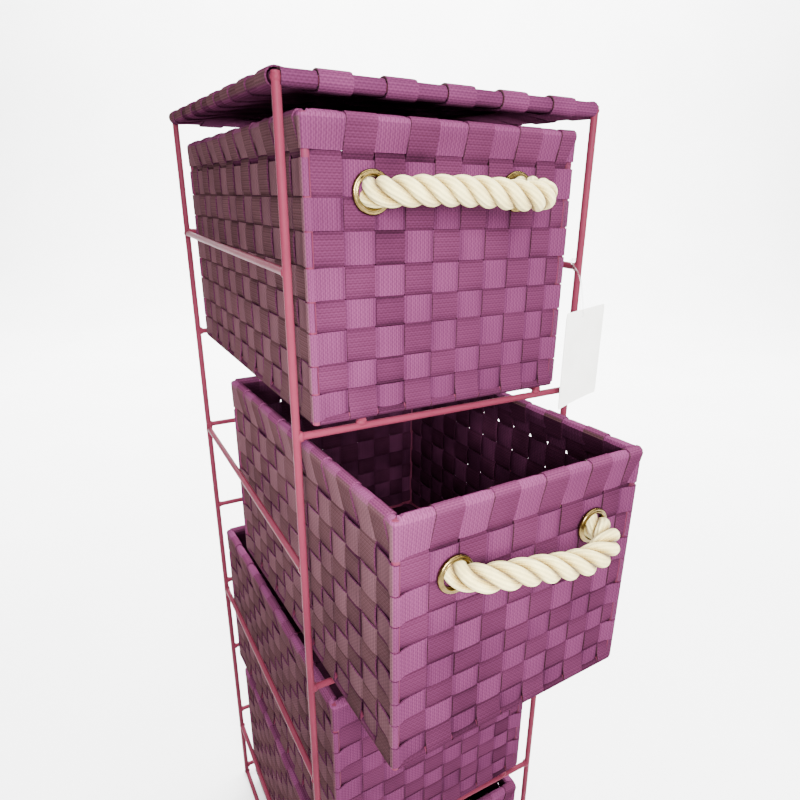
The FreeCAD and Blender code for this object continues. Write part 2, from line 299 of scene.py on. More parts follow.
def nylon_material():
    m, nt, b = new_mat("loop_nylon")
    tc = nt.nodes.new("ShaderNodeTexCoord")
    n1 = node(nt, "ShaderNodeTexNoise", Scale=400.0, Detail=2.0)
    nt.links.new(tc.outputs["Object"], n1.inputs["Vector"])
    col = ramp(nt, n1.outputs["Fac"], [(0.3, (0.78, 0.78, 0.76)), (0.7, (0.90, 0.90, 0.88))])
    nt.links.new(col.outputs["Color"], b.inputs["Base Color"])
    b.inputs["Roughness"].default_value = 0.2
    b.inputs["Transmission Weight"].default_value = 0.9
    b.inputs["Alpha"].default_value = 0.3
    b.inputs["IOR"].default_value = 1.5
    return m


# painted sheen: both strap materials are one plastic; the straps across are lighter and the straps along darker, for
# the sheen that light gives each rib direction
MAT_STRAP_ACROSS_LIT = strap_material("strap_across_lit", (0.087, 0.0215, 0.057), (0.066, 0.0163, 0.0435))
MAT_STRAP_ALONG_SHADED = strap_material("strap_along_shaded", (0.063, 0.0155, 0.0393), (0.0485, 0.0118, 0.030))
MAT_STAND = wire_material("stand_powder_coat", (0.108, 0.0165, 0.032), (0.088, 0.0130, 0.026))
MAT_CAGE = wire_material("cage_powder_coat", (0.115, 0.021, 0.044), (0.090, 0.015, 0.034))
MAT_ROPE = rope_material()
MAT_BRASS = brass_material()
MAT_CARD = card_material()
MAT_NYLON = nylon_material()


# ------------------------------------------------------------------ mesh building
class Build:
    """Gathers thick ribbons and turned shapes into one mesh."""

    def __init__(self):
        self.v, self.f, self.uv, self.mat, self.tone = [], [], [], [], []
        self.n = 0

    def grid(self, mid, uv, t, mat=0, tone=0.5, closed=False, inner=None, inner_tone_and_shade=None):
        """Thickens a grid of middle-surface points (rows along, columns across) to t mm."""
        mid = np.asarray(mid, float)
        I, J, _ = mid.shape
        if closed:
            du = np.roll(mid, -1, 0) - np.roll(mid, 1, 0)
        else:
            du = np.gradient(mid, axis=0)
        dv = np.gradient(mid, axis=1)
        nor = np.cross(du, dv)
        nor /= np.linalg.norm(nor, axis=2, keepdims=True) + 1e-12
        a = (mid + nor * t / 2).reshape(-1, 3)
        b = (mid - nor * t / 2).reshape(-1, 3)
        o, k = self.n, I * J
        self.v.append(a)
        self.v.append(b)
        self.n += 2 * k
        uvf = np.asarray(uv, float).reshape(-1, 2)
        q, qu = [], []
        last = I if closed else I - 1
        step = uv[1][0][0] - uv[0][0][0]

        def add(ids, base, wrap):
            q.append([o + base + x for x in ids])
            row = []
            for n_, x in enumerate(ids):
                w = uvf[x].copy()
                if wrap and x // J == 0:
                    w[0] = uvf[(I - 1) * J + x % J][0] + step
                row.append(w)
            qu.append(row)

        for i in range(last):
            i2 = (i + 1) % I
            wr = closed and i2 == 0
            for j in range(J - 1):
                p = (i * J + j, i2 * J + j, i2 * J + j + 1, i * J + j + 1)
                add(p, 0, wr)
                add(p[::-1], k, wr)
            for j, flip in ((0, False), (J - 1, True)):
                x, y = i * J + j, i2 * J + j
                ids = (o + x, o + k + x, o + k + y, o + y)
                uvs = [uvf[x], uvf[x], uvf[y].copy(), uvf[y].copy()]
                if wr:
                    for w in uvs[2:]:
                        w[0] = uvf[(I - 1) * J + j][0] + step
                if flip:
                    ids, uvs = ids[::-1], uvs[::-1]
                q.append(list(ids))
                qu.append(uvs)
        if not closed:
            for i, flip in ((0, True), (I - 1, False)):
                for j in range(J - 1):
                    x, y = i * J + j, i * J + j + 1
                    ids = (o + x, o + k + x, o + k + y, o + y)
                    uvs = [uvf[x], uvf[x], uvf[y], uvf[y]]
                    if flip:
                        ids, uvs = ids[::-1], uvs[::-1]
                    q.append(list(ids))
                    qu.append(uvs)
        self.f += q
        self.uv += qu
        self.mat += [mat] * len(q)
        if np.isscalar(tone):
            self.tone += [tone] * len(q)
        else:
            # painted shade: inner faces take the darker inner values and both edge faces of the strap are made 0.3
            # darker
            for i in range(last):
                a_, b_ = (float(x[i] + x[(i + 1) % I]) / 2 for x in (tone, inner_tone_and_shade))
                self.tone += ([b_, a_] if inner == 0 else [a_, b_]) * (J - 1) + [a_ - 0.3, a_ - 0.3]
            if not closed:
                self.tone += [float(tone[0])] * (J - 1) + [float(tone[-1])] * (J - 1)

    def tube(self, centres, radius, sides=14, mat=0, tone=0.5, squash=1.0, caps=True, length0=0.0, core=None, reach=1.0):
        """A round tube through many points; radius may be one number or one per point. With a core line,
        the value each face gets tells how far out it lies from that line, 1 at reach; the rope material paints shade in
        the grooves from it."""
        c = np.asarray(centres, float)
        n = len(c)
        r = np.full(n, radius, float) if np.isscalar(radius) else np.asarray(radius, float)
        tan = np.gradient(c, axis=0)
        tan /= np.linalg.norm(tan, axis=1, keepdims=True)
        ref = np.array([0.0, 0.0, 1.0]) if abs(tan[0][2]) < 0.9 else np.array([1.0, 0, 0])
        e1 = np.cross(tan[0], ref)
        e1 /= np.linalg.norm(e1)
        rows, s = [], [length0]
        for i in range(n):
            if i:
                s.append(s[-1] + np.linalg.norm(c[i] - c[i - 1]))
            e1 = e1 - tan[i] * np.dot(e1, tan[i])
            e1 /= np.linalg.norm(e1)
            e2 = np.cross(tan[i], e1)
            rows.append([c[i] + r[i] * (math.cos(2 * math.pi * k / sides) * e1 + squash * math.sin(2 * math.pi * k / sides) * e2)
                         for k in range(sides)])
        o = self.n
        self.v.append(np.array(rows).reshape(-1, 3))
        self.n += n * sides
        for i in range(n - 1):
            for k in range(sides):
                k2 = (k + 1) % sides
                self.f.append([o + i * sides + k, o + i * sides + k2, o + (i + 1) * sides + k2, o + (i + 1) * sides + k])
                ka, kb = k / sides, (k + 1) / sides
                self.uv.append([(s[i] * MM, ka), (s[i] * MM, kb), (s[i + 1] * MM, kb), (s[i + 1] * MM, ka)])
                self.mat.append(mat)
                if core is None:
                    self.tone.append(tone)
                else:
                    q = (rows[i][k] + rows[i][k2] + rows[i + 1][k]) / 3 - core[i]
                    self.tone.append(float(np.linalg.norm(q) / reach))
        if caps:
            for i, rev in ((0, True), (n - 1, False)):
                ids = [o + i * sides + k for k in range(sides)]
                self.f.append(ids[::-1] if rev else ids)
                self.uv.append([(s[i] * MM, k / sides) for k in range(sides)])
                self.mat.append(mat)
                self.tone.append(tone)

    def lathe(self, profile, centre, axis, seg=56, mat=0, tone=0.5):
        """Turns a closed (radius, along) profile about an axis."""
        ax = Vector(axis).normalized()
        e1 = ax.orthogonal().normalized()
        e2 = ax.cross(e1)
        c = Vector(centre)
        o, m = self.n, len(profile)
        pts = []
        for k in range(seg):
            a = 2 * math.pi * k / seg
            d = e1 * math.cos(a) + e2 * math.sin(a)
            pts += [tuple(c + d * r + ax * h) for r, h in profile]
        self.v.append(np.array(pts))
        self.n += len(pts)
        for k in range(seg):
            k2 = (k + 1) % seg
            for i in range(m):
                j = (i + 1) % m
                self.f.append([o + k * m + i, o + k2 * m + i, o + k2 * m + j, o + k * m + j])
                self.uv.append([(k / seg, i / m), ((k + 1) / seg, i / m), ((k + 1) / seg, (i + 1) / m), (k / seg, (i + 1) / m)])
                self.mat.append(mat)
                self.tone.append(tone)

    def blob(self, centre, radii, noise=0.12, axis=None, mat=0, rings=8, seg=12):
        """A lumpy ball, for a bead of weld metal."""
        c = np.array(centre, float)
        o = self.n
        ph = rng.random(6) * 6.28
        pts = []
        for i in range(rings + 1):
            th = math.pi * i / rings
            for k in range(seg):
                a = 2 * math.pi * k / seg
                d = np.array([math.sin(th) * math.cos(a), math.sin(th) * math.sin(a), math.cos(th)])
                w = 1 + noise * (math.sin(3.1 * d[0] + ph[0]) * math.sin(2.7 * d[1] + ph[1]) + 0.6 * math.sin(5.3 * d[2] + ph[2]) * math.sin(4.1 * d[0] + ph[3]))
                pts.append(c + d * np.array(radii) * w)
        self.v.append(np.array(pts))
        self.n += len(pts)
        for i in range(rings):
            for k in range(seg):
                k2 = (k + 1) % seg
                a, b, c2, d2 = o + i * seg + k, o + (i + 1) * seg + k, o + (i + 1) * seg + k2, o + i * seg + k2
                self.f.append([a, b, c2, d2])
                self.uv.append([(0, 0), (0, 1), (1, 1), (1, 0)])
                self.mat.append(mat)
                self.tone.append(0.5)

    def make(self, name, mats, sharp=None, drawer=None):
        co = np.concatenate(self.v)
        if drawer is not None:
            co = skewed(drawer, co)
        co = co * MM
        me = bpy.data.meshes.new(name)
        me.from_pydata(co.tolist(), [], self.f)
        layer = me.uv_layers.new(name="strap")
        flat = np.array([x for face in self.uv for x in face], np.float32).reshape(-1)
        layer.data.foreach_set("uv", flat)
        for m in mats:
            me.materials.append(m)
        me.polygons.foreach_set("material_index", np.array(self.mat, np.int32))
        # per-face value: random tone of each strap together with painted highlight and painted shade
        at = me.attributes.new("tone", "FLOAT", "FACE")
        at.data.foreach_set("value", np.array(self.tone, np.float32))
        me.polygons.foreach_set("use_smooth", np.ones(len(self.f), bool))
        me.validate()
        if sharp:
            me.set_sharp_from_angle(angle=math.radians(sharp))
        me.update()
        ob = bpy.data.objects.new(name, me)
        bpy.context.scene.collection.objects.link(ob)
        return ob


def skewed(i, pts):
    """Turns points of drawer i (mm) the way that loose drawer sits on its runners."""
    pts = np.array(pts, float)
    c, s = math.cos(math.radians(SKEW[i])), math.sin(math.radians(SKEW[i]))
    px, py = DRAWER_X[i], B_FRONT - PULL[i] + PIVOT
    x, y = pts[:, 0] - px, pts[:, 1] - py
    pts[:, 0], pts[:, 1] = px + c * x - s * y, py + s * x + c * y
    return pts


def lift(u, k=2.0):
    """Rise of a strap inside one cell, 0 at its ends and 1 across its middle."""
    return np.tanh(k * np.sin(np.pi * u)) / math.tanh(k)


def smooth(x):
    x = np.clip(x, 0.0, 1.0)
    return x * x * (3 - 2 * x)


CELL_U = [0.0, 0.1, 0.24, 0.5, 0.76, 0.9]
ACROSS = np.array([-0.5, -0.3, 0.3, 0.5])


def weave_run(edges, signs, amp):
    """Samples along one face: distance and offset of a strap that goes over and under between cell edges."""
    d, o = [], []
    for c, sg in enumerate(signs):
        for u in CELL_U:
            d.append(edges[c] + (edges[c + 1] - edges[c]) * u)
            o.append(amp * sg * lift(u))
    d.append(edges[-1])
    o.append(0.0)
    return np.array(d), np.array(o)


def edge_pull(d, o, length, start, end, reach=8.5, reach_end=None):
    """Brings a strap out to the wire it goes round at either end of a face."""
    w0 = 1 - smooth((d - 0.0) / reach)
    w1 = 1 - smooth((length - d) / (reach if reach_end is None else reach_end))
    o = o * (1 - w0) + start * w0
    return o * (1 - w1) + end * w1


def strap(bld, pts, nor, pillow, side, width, t, mat, tone, closed=False, glow=None, inner=1):
    """pts: path (mm); nor: outward direction at each point; side: unit vector across the strap.
    glow: painted highlight and shade, 1 where the strap is on the outside, 0 where it dives (darker), -1 where it is
    inside (darker still), above 1 for a painted highlight; inner: which of its faces looks in."""
    pts, nor = np.asarray(pts, float), np.asarray(nor, float)
    side = np.asarray(side, float)
    crown = 1 - (2 * ACROSS) ** 2
    wide = np.full(len(pts), width, float) if np.isscalar(width) else np.asarray(width, float)
    width = float(wide.max())
    mid = pts[:, None, :] + ACROSS[None, :, None] * wide[:, None, None] * side[None, None, :] \
        + nor[:, None, :] * (np.asarray(pillow)[:, None] * crown[None, :])[:, :, None]
    s = np.concatenate([[0], np.cumsum(np.linalg.norm(np.diff(pts, axis=0), axis=1))])
    uv = [[(x * MM, a * width * MM) for a in ACROSS] for x in s]
    g = np.asarray(pillow, float) / 0.3 if glow is None else np.asarray(glow, float)
    # painted light: the faces are lighter where the strap bows out and darker where it dives under its neighbours; the
    # inner faces are darker still
    bld.grid(mid, uv, t, mat, tone - 0.55 + np.where(g > 0, 0.68 * g, 0.15 * g), closed, inner, 0.5 * tone - 0.72 - 0.12 * np.clip(g, -1, 1))


# ------------------------------------------------------------------ woven baskets
T = 0.75
AMP = (0.62, 0.9)            # how far straps bow out: front and back, sides
COLS, DEEP, ROWS = 10, 14, 9
WX = B_W - B_WIRE            # between cage wire axes, across
WY = B_D - B_WIRE            # and front to back
HZ = B_H - B_WIRE            # and up
R_CAGE = B_WIRE / 2.0
# row edges of each drawer from the rim down, above the floor wires: packed lower down, looser near the rim
TIGHT = [HZ + 2.0, 124.6, 105.6, 90.8, 74.9, 59.4, 44.9, 28.6, 14.6, 0.0]
LOOSE = [HZ + 2.0, 119.8, 102.0, 85.6, 71.4, 54.9, 40.7, 27.5, 13.0, 0.0]
ROW_EDGES = [TIGHT, LOOSE, LOOSE, [0.5 * (p + q) for p, q in zip(TIGHT, LOOSE)]]
# column edges of the front, from the left cage wire to the right one
FRONT_COLS = [0.0, 17.2, 33.4, 49.8, 66.2, 82.2, 98.2, 114.0, 129.4, 142.6, WX]
BACK_COLS = [WX - e for e in FRONT_COLS[::-1]]
SIDE_COLS = [WY * k / DEEP for k in range(DEEP + 1)]
EDGE = (0.6, -0.6)           # the first and last straps of a wall: how far clear of its corner wires


def over(row, col):
    """True where the strap that runs round the basket shows outside."""
    return (row + col) % 2 == 0


def basket(i):
    n = i + 1
    bld = Build()
    r_ = np.random.default_rng(50 + i)
    ox, oy, oz = DRAWER_X[i], B_FRONT - PULL[i] + R_CAGE, FRONT[i] + B_GAP + R_CAGE
    org = np.array([ox, oy, oz])
    rows = ROW_EDGES[i]
    faces = [((-WX / 2, 0.0), (1, 0), (0, -1), FRONT_COLS, AMP[0], 0.958), ((WX / 2, 0.0), (0, 1), (1, 0), SIDE_COLS, AMP[1], 0.93),
             ((WX / 2, WY), (-1, 0), (0, 1), BACK_COLS, AMP[0], 0.972), ((-WX / 2, WY), (0, -1), (-1, 0), SIDE_COLS, AMP[1], 0.945)]
    rc = R_CAGE + 0.1 + T / 2 + 0.05
    # straps round the basket, rows 2 to 9
    for row in range(2, ROWS + 1):
        zt, zb = rows[row - 1], rows[row]
        if row == 2:
            zt -= 2.6 if rows is TIGHT else 1.4      # slack under the rim strap
        zc, pitch = (zt + zb) / 2 + r_.normal(0, 0.12), zt - zb
        pts, nor, pil, wid, glow = [], [], [], [], []
        c0 = 1
        for k, (p0, along, out, edges, amp, full) in enumerate(faces):
            length, count = edges[-1], len(edges) - 1
            signs = [1.0 if over(row, c0 + c) else -1.0 for c in range(count)]
            d, o = weave_run(edges, signs, amp)
            o2 = edge_pull(d, o, length, rc, rc, 6.5 if signs[0] > 0 else 2.4, 6.5 if signs[-1] > 0 else 2.4)
            before, after = faces[k - 1][5], faces[(k + 1) % 4][5]
            for a, b, c in zip(d, o2, o):
                pts.append((p0[0] + along[0] * a + out[0] * b, p0[1] + along[1] * a + out[1] * b, zc))
                nor.append((out[0], out[1], 0))
                pil.append(0.3 * c / amp)
                # painted highlight where the strap bows out or is pulled out to a corner wire, painted shade where it
                # dives
                glow.append(max(c / amp, min(1.0, (b - amp) / 1.2)))
                w0, w1 = 0.5 * (1 - smooth(a / 14.0)), 0.5 * (1 - smooth((length - a) / 14.0))
                wid.append(pitch * (full * (1 - w0 - w1) + before * w0 + after * w1))
            nxt = faces[(k + 1) % 4]
            corner = (p0[0] + along[0] * length, p0[1] + along[1] * length)
            for q in (0.25, 0.5, 0.75):
                a = q * math.pi / 2
                dx = out[0] * math.cos(a) + nxt[2][0] * math.sin(a)
                dy = out[1] * math.cos(a) + nxt[2][1] * math.sin(a)
                pts.append((corner[0] + rc * dx, corner[1] + rc * dy, zc))
                nor.append((dx, dy, 0))
                pil.append(0.0)
                # painted highlight on the strap where it wraps round the corner wire
                glow.append(1.2)
                wid.append(pitch * (full + after) / 2)
            c0 += count
        strap(bld, np.array(pts) + org, nor, pil, (0, 0, 1), wid, T, 0, float(np.clip(r_.normal(0.5, 0.16), 0.1, 0.9)), closed=True, glow=glow)

    # rim strap: row 1, folded over the rim wire
    mids, uvs, dist = [], [], 0.0
    c0 = 1
    low = rows[1] + (0.6 if rows is TIGHT else 0.35)
    r1 = R_CAGE + T / 2 + 0.08

    def section(o, k, keep):
        """(out, up) points from the lower edge, over the wire and down inside; keep is how much of the fold is there."""
        rr = r1 + 0.6 * smooth((k + 1) / 2)
        p = [(o, low), (o * 0.82 + rr * 0.18, low + 3.2), (o * 0.3 + rr * 0.7, HZ - 5.6), (o * 0.1 + rr * 0.9, HZ - 2.4), (rr, HZ)]
        for a in (0.22, 0.5, 0.78, 1.0):
            b = a * keep
            p.append((rr * math.cos(b * math.pi), HZ + rr * math.sin(b * math.pi)))
        e = p[-1]
        p.append((e[0] + 0.25 * keep, e[1] - 3.5 * keep - 0.1))
        p.append((e[0] + 0.75 * keep, e[1] - 8.0 * keep - 0.2))
        return p

    flat = np.array(section(rc, 0.0, 1.0))
    up = np.concatenate([[0.0], np.cumsum(np.linalg.norm(np.diff(flat, axis=0), axis=1))]) * MM
    for k, (p0, along, out, edges, amp, full) in enumerate(faces):
        length, count = edges[-1], len(edges) - 1
        signs = [1.0 if over(1, c0 + c) else -1.0 for c in range(count)]
        d, o = weave_run(edges, signs, amp)
        o2 = edge_pull(d, o, length, rc, rc, 6.0)
        keep = 0.2 + 0.8 * smooth((np.minimum(d, length - d) - 0.3) / 2.6)
        for a, b, c, kp in zip(d, o2, o, keep):
            mids.append([(p0[0] + along[0] * a + out[0] * q, p0[1] + along[1] * a + out[1] * q, z) for q, z in section(b, c / amp, kp)])
            uvs.append([((dist + a) * MM, up[j]) for j in range(11)])
        dist += length
        nxt = faces[(k + 1) % 4]
        corner = (p0[0] + along[0] * length, p0[1] + along[1] * length)
        for q in (0.25, 0.5, 0.75):
            a = q * math.pi / 2
            dx = out[0] * math.cos(a) + nxt[2][0] * math.sin(a)
            dy = out[1] * math.cos(a) + nxt[2][1] * math.sin(a)
            mids.append([(corner[0] + dx * s_, corner[1] + dy * s_, z) for s_, z in section(rc, 0.0, 0.2)])
            uvs.append([((dist + q * 3.8) * MM, up[j]) for j in range(11)])
        dist += 3.8
        c0 += count
    tone = float(np.clip(r_.normal(0.55, 0.1), 0.2, 0.9))
    bld.grid(np.array(mids) + org, uvs, T, 0, tone, closed=True)
    # painted highlight on the roll over the wire, painted shade on the fold and faces inside
    first = len(bld.tone) - 22 * len(mids)
    for m_ in range(len(mids)):
        for j, outside, inside in ((0, tone, -0.5), (1, tone, -0.5), (2, tone, -0.5), (3, tone + 0.1, -0.5), (4, 1.3, 1.3), (5, 1.6, 1.6),
                                   (6, 1.6, 1.6), (7, 1.5, 1.5), (8, -0.35, -0.35), (9, -0.5, -0.5)):
            bld.tone[first + 22 * m_ + 2 * j] = outside
            bld.tone[first + 22 * m_ + 2 * j + 1] = inside

    # strap ends tucked round the corner wires
    for x, y in ((WX / 2, 0.0), (WX / 2, WY), (-WX / 2, WY)):
        bld.tube([org + (x, y, z) for z in np.linspace(3.0, HZ - 3.0, 5)], R_CAGE + 0.12, sides=18, mat=1, tone=0.15)
    # straps up the walls and under the floor
    def long_straps(across, edges, run, floor_edges, side_a, side_b, start, amp, fill_a, fill_b, pinch, lean_a, lean_b, inner):
        """across/run: unit vectors in plan; side_a/side_b: column number of strap c on the two walls it climbs."""
        across, run = np.array(across, float), np.array(run, float)
        count = len(edges) - 1
        length = floor_edges[-1]
        rb = R_CAGE + T / 2 + 0.06
        rtop = r1 + T + 0.08
        for c in range(count):
            e0, e1 = max(edges[c], EDGE[0]) if c else EDGE[0], edges[c + 1] if c + 1 < count else edges[-1] - EDGE[1]
            pitch = e1 - e0
            base = np.array(start, float) + across * (e0 + e1) / 2 + across * r_.normal(0, 0.12)
            path, nor, pil, wid, glow = [], [], [], [], []

            def wall(at, out, col, fill, lean):
                """Points of one wall from the rim down to the floor wire."""
                P, N, Q, S, W, G = [], [], [], [], [], []
                tall = not over(1, col)

                def add(o, z, na, nz, crown, shift, w, g=None):
                    P.append((o, z)); N.append((na, nz)); Q.append(crown); S.append(shift); W.append(w)
                    G.append(crown / 0.3 if g is None else g)

                # painted shade where the strap hangs down inside the basket, painted highlight where it rolls over the
                # rim wire
                if tall:
                    for z in (HZ - 11.5, HZ - 7.0, HZ - 3.0):
                        w = smooth((HZ - z) / 11.5)
                        add(-(rtop * (1 - w) + 1.6 * w), z, -1, 0, 0, lean, fill, -4.5)
                    for a in (0.0, 0.2, 0.4, 0.6, 0.8):
                        t_ = math.pi * a
                        add(-rtop * math.cos(t_), HZ + rtop * math.sin(t_), -math.cos(t_), math.sin(t_), 0, lean, fill, 2.9 if a > 0.3 else -1.5 if a < 0.1 else 1.6)
                else:
                    add(-0.3, HZ - R_CAGE - 1.2, 1, 0, 0, 0, fill)
                for row in range(1, ROWS + 1):
                    zt, zb = (rows[row - 1] if row > 1 else HZ), rows[row]
                    sg = -1.0 if over(row, col) else 1.0
                    for u in CELL_U:
                        z = zt + (zb - zt) * u
                        if row == 1 and not tall and z > HZ - R_CAGE - 1.5:
                            continue
                        up = lift(u) if not (row == 1 and u < 0.5) else 1.0
                        o = amp * sg * up
                        if tall:
                            w = max(0.0, 1 - (HZ - z) / 15.5)
                            o = o * (1 - w) + rtop * w
                        w = 1 - smooth(z / (8.0 if sg > 0 else 3.0))
                        o = o * (1 - w) + rb * w
                        sh = lean * (z - rows[1]) / (HZ - rows[1]) if tall and row == 1 else 0.0
                        add(o, z, 1, 0, 0.3 * sg * up, sh, fill - (pinch * up if sg > 0 else 0.0))
                # the end at the floor wire and the turns round it get a mid painted highlight
                add(rb, 0.0, 1, 0, 0, 0, fill, 0.8)
                P = [np.array((*(np.array(at) + np.array(out) * a + across * s_), b)) for (a, b), s_ in zip(P, S)]
                N = [np.array((*(np.array(out) * a), b)) for a, b in N]
                return P, N, Q, W, G

            pa, na, qa, wa, ga = wall(base, -run, side_a(c), fill_a, lean_a)
            pb, nb, qb, wb_, gb = wall(base + run * length, run, side_b(c), fill_b, lean_b)
            path += pa; nor += na; pil += qa; wid += wa; glow += ga
            for q in (0.33, 0.67):
                a = q * math.pi / 2
                d2 = -run * math.cos(a)
                path.append(np.array((*(base + d2 * rb), -rb * math.sin(a)))); nor.append(np.array((*d2, -math.sin(a)))); pil.append(0); wid.append(fill_a); glow.append(0.6)
            signs = [1.0 if (c + j) % 2 == (0 if count == COLS else 1) else -1.0 for j in range(len(floor_edges) - 1)]
            d, o = weave_run(floor_edges, signs, AMP[0])
            o2 = edge_pull(d, o, length, rb, rb, 8.0)
            for x, y, e in zip(d, o2, o):
                path.append(np.array((*(base + run * x), -y))); nor.append(np.array((0, 0, -1.0))); pil.append(0.3 * e / AMP[0])
                wid.append(fill_a + (fill_b - fill_a) * x / length); glow.append(e / AMP[0])
            for q in (0.33, 0.67):
                a = q * math.pi / 2
                d2 = run * math.sin(a)
                path.append(np.array((*(base + run * length + d2 * rb), -rb * math.cos(a)))); nor.append(np.array((*d2, -math.cos(a)))); pil.append(0); wid.append(fill_b); glow.append(0.6)
            path += pb[::-1]; nor += nb[::-1]; pil += qb[::-1]; wid += wb_[::-1]; glow += gb[::-1]
            strap(bld, np.array(path) + org, nor, pil, (*across, 0), np.array(wid) * pitch, T, 1, float(np.clip(r_.normal(0.5, 0.17), 0.08, 0.92)), glow=glow, inner=inner)

    long_straps((1, 0), FRONT_COLS, (0, 1), SIDE_COLS, lambda c: 1 + c, lambda c: 34 - c, (-WX / 2, 0.0), AMP[0], 0.962, 0.972, 0.0, 1.2, 0.0, 1)
    long_straps((0, 1), SIDE_COLS, (1, 0), FRONT_COLS, lambda c: 48 - c, lambda c: 11 + c, (-WX / 2, 0.0), AMP[1], 0.94, 0.925, 0.07, 3.0, 3.0, 0)
    ob = bld.make("drawer_%d_weave" % n, [MAT_STRAP_ACROSS_LIT, MAT_STRAP_ALONG_SHADED], sharp=40, drawer=i)
    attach(ob, "drawer_%d" % n)
    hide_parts("drawer_%d_woven_basket" % n)
    return ob


# ------------------------------------------------------------------ ropes (before the rest)
def spline_points(name, pts):
    cu = bpy.data.curves.new(name, "CURVE")
    cu.dimensions = "3D"
    cu.resolution_u = 24
    sp = cu.splines.new("NURBS")
    sp.points.add(len(pts) - 1)
    for p, q in zip(sp.points, pts):
        p.co = (*q, 1.0)
    sp.order_u = 3
    sp.use_endpoint_u = True
    ob = bpy.data.objects.new(name, cu)
    bpy.context.scene.collection.objects.link(ob)
    bpy.context.view_layer.update()
    me = bpy.data.meshes.new_from_object(ob)
    line = [tuple(v.co) for v in me.vertices]
    bpy.data.objects.remove(ob)
    bpy.data.curves.remove(cu)
    bpy.data.meshes.remove(me)
    return np.array(line)


def even(line, step):
    s = np.concatenate([[0], np.cumsum(np.linalg.norm(np.diff(line, axis=0), axis=1))])
    n = max(8, int(s[-1] / step))
    t = np.linspace(0, s[-1], n + 1)
    return np.stack([np.interp(t, s, line[:, k]) for k in range(3)], 1), s[-1]


def strands(bld, line, rope_d, lay, count=3, sides=12, phase=0.0, hand=1.0, taper=None):
    """Twisted strands along a line (mm)."""
    ds = rope_d / 2.1547
    rho, rs = ds / math.sqrt(3) * 0.99, ds / 2 * 1.07
    tan = np.gradient(line, axis=0)
    tan /= np.linalg.norm(tan, axis=1, keepdims=True)
    e1 = np.cross(tan[0], (0, 0, 1.0))
    e1 /= np.linalg.norm(e1)
    s, fr = 0.0, []
    for i in range(len(line)):
        if i:
            s += np.linalg.norm(line[i] - line[i - 1])
        e1 = e1 - tan[i] * np.dot(e1, tan[i])
        e1 /= np.linalg.norm(e1)
        fr.append((s, e1.copy(), np.cross(tan[i], e1)))
    for k in range(count):
        c = []
        for (s, a, b), p in zip(fr, line):
            w = hand * 2 * math.pi * s / lay + phase + 2 * math.pi * k / count
            q = 1.0 if taper is None else taper(s / fr[-1][0])
            c.append(p + rho * q * (math.cos(w) * a + math.sin(w) * b))
        bld.tube(c, rs, sides=sides, core=line, reach=rho + rs)


ROPES = []
for i in range(4):
    n = i + 1
    cx, yf, z1 = DRAWER_X[i], B_FRONT - PULL[i], FRONT[i] + B_GAP + B_H
    front_face = yf + R_CAGE - WEAVE_T / 2
    spots = [(cx + a, z1 - drop) for a, drop in EYES[i]]
    route = [tuple(p * MM) for p in skewed(i, [(cx + a, front_face - 1.0 - o, spots[0][1] + h) for a, o, h in ROPE[i]])]
    line = spline_points("drawer_%d_rope_route" % n, route)
    fine, length = even(line, 0.0009)
    bld = Build()
    strands(bld, fine / MM, ROPE_D, ROPE_LAY[i], phase=0.9 + 1.3 * i, hand=1.0, sides=22)
    rope = bld.make("drawer_%d_rope" % n, [MAT_ROPE], sharp=None)
    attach(rope, "drawer_%d" % n)
    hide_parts("drawer_%d_rope_handle" % n)
    ROPES.append((front_face, spots))

# ------------------------------------------------------------------ knots and eyelets
for i in range(4):
    n = i + 1
    front_face, spots = ROPES[i]
    kb, eb = Build(), Build()
    for sgn, (x, ze) in zip((-1, 1), spots):
        back = front_face + WEAVE_T + 1.2
        # stopper knot: the rope's end wound over itself, with a short cut tail
        t = np.linspace(0.0, 2 * math.pi, 150)
        R, r0 = 6.3, 3.4
        kx = (R + r0 * np.cos(3 * t)) * np.cos(2 * t)
        kz = (R + r0 * np.cos(3 * t)) * np.sin(2 * t)
        ky = 4.6 * np.sin(3 * t)
        line = np.stack([x + kx, back + 11.4 + ky, ze + kz], 1)
        strands(kb, line[:-1], 7.6, 19.0, sides=10, phase=sgn, hand=1.0)
        tail = np.stack([x + 7.0 + np.linspace(0, 2.0, 24), np.linspace(back + 11.0, back + 22.5, 24), ze - 4.0 - np.linspace(0, 1.5, 24)], 1)
        strands(kb, tail, 7.2, 19.0, sides=10, phase=0.3, hand=1.0)
        prof = [(7.05, -3.6), (7.05, 1.2), (7.2, 2.0), (7.55, 2.7), (8.05, 3.1), (8.5, 3.0), (8.75, 2.66), (9.0, 2.62), (9.35, 2.75),
                (9.8, 2.55), (10.15, 2.1), (10.3, 1.5), (10.2, 0.9), (9.9, 0.55), (7.9, 0.4), (7.7, 0.0), (7.7, -2.6), (9.4, -2.7), (9.6, -3.0), (9.4, -3.7), (8.4, -3.85)]
        eb.lathe(prof, (x, front_face, ze), (0, -1, 0))
    ob = kb.make("drawer_%d_knots" % n, [MAT_ROPE], drawer=i)
    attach(ob, "drawer_%d" % n)
    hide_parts("drawer_%d_rope_knots" % n)
    ob = eb.make("drawer_%d_eyelet_rings" % n, [MAT_BRASS], sharp=55, drawer=i)
    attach(ob, "drawer_%d" % n)
    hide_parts("drawer_%d_eyelets" % n)

for i in range(4):
    basket(i)


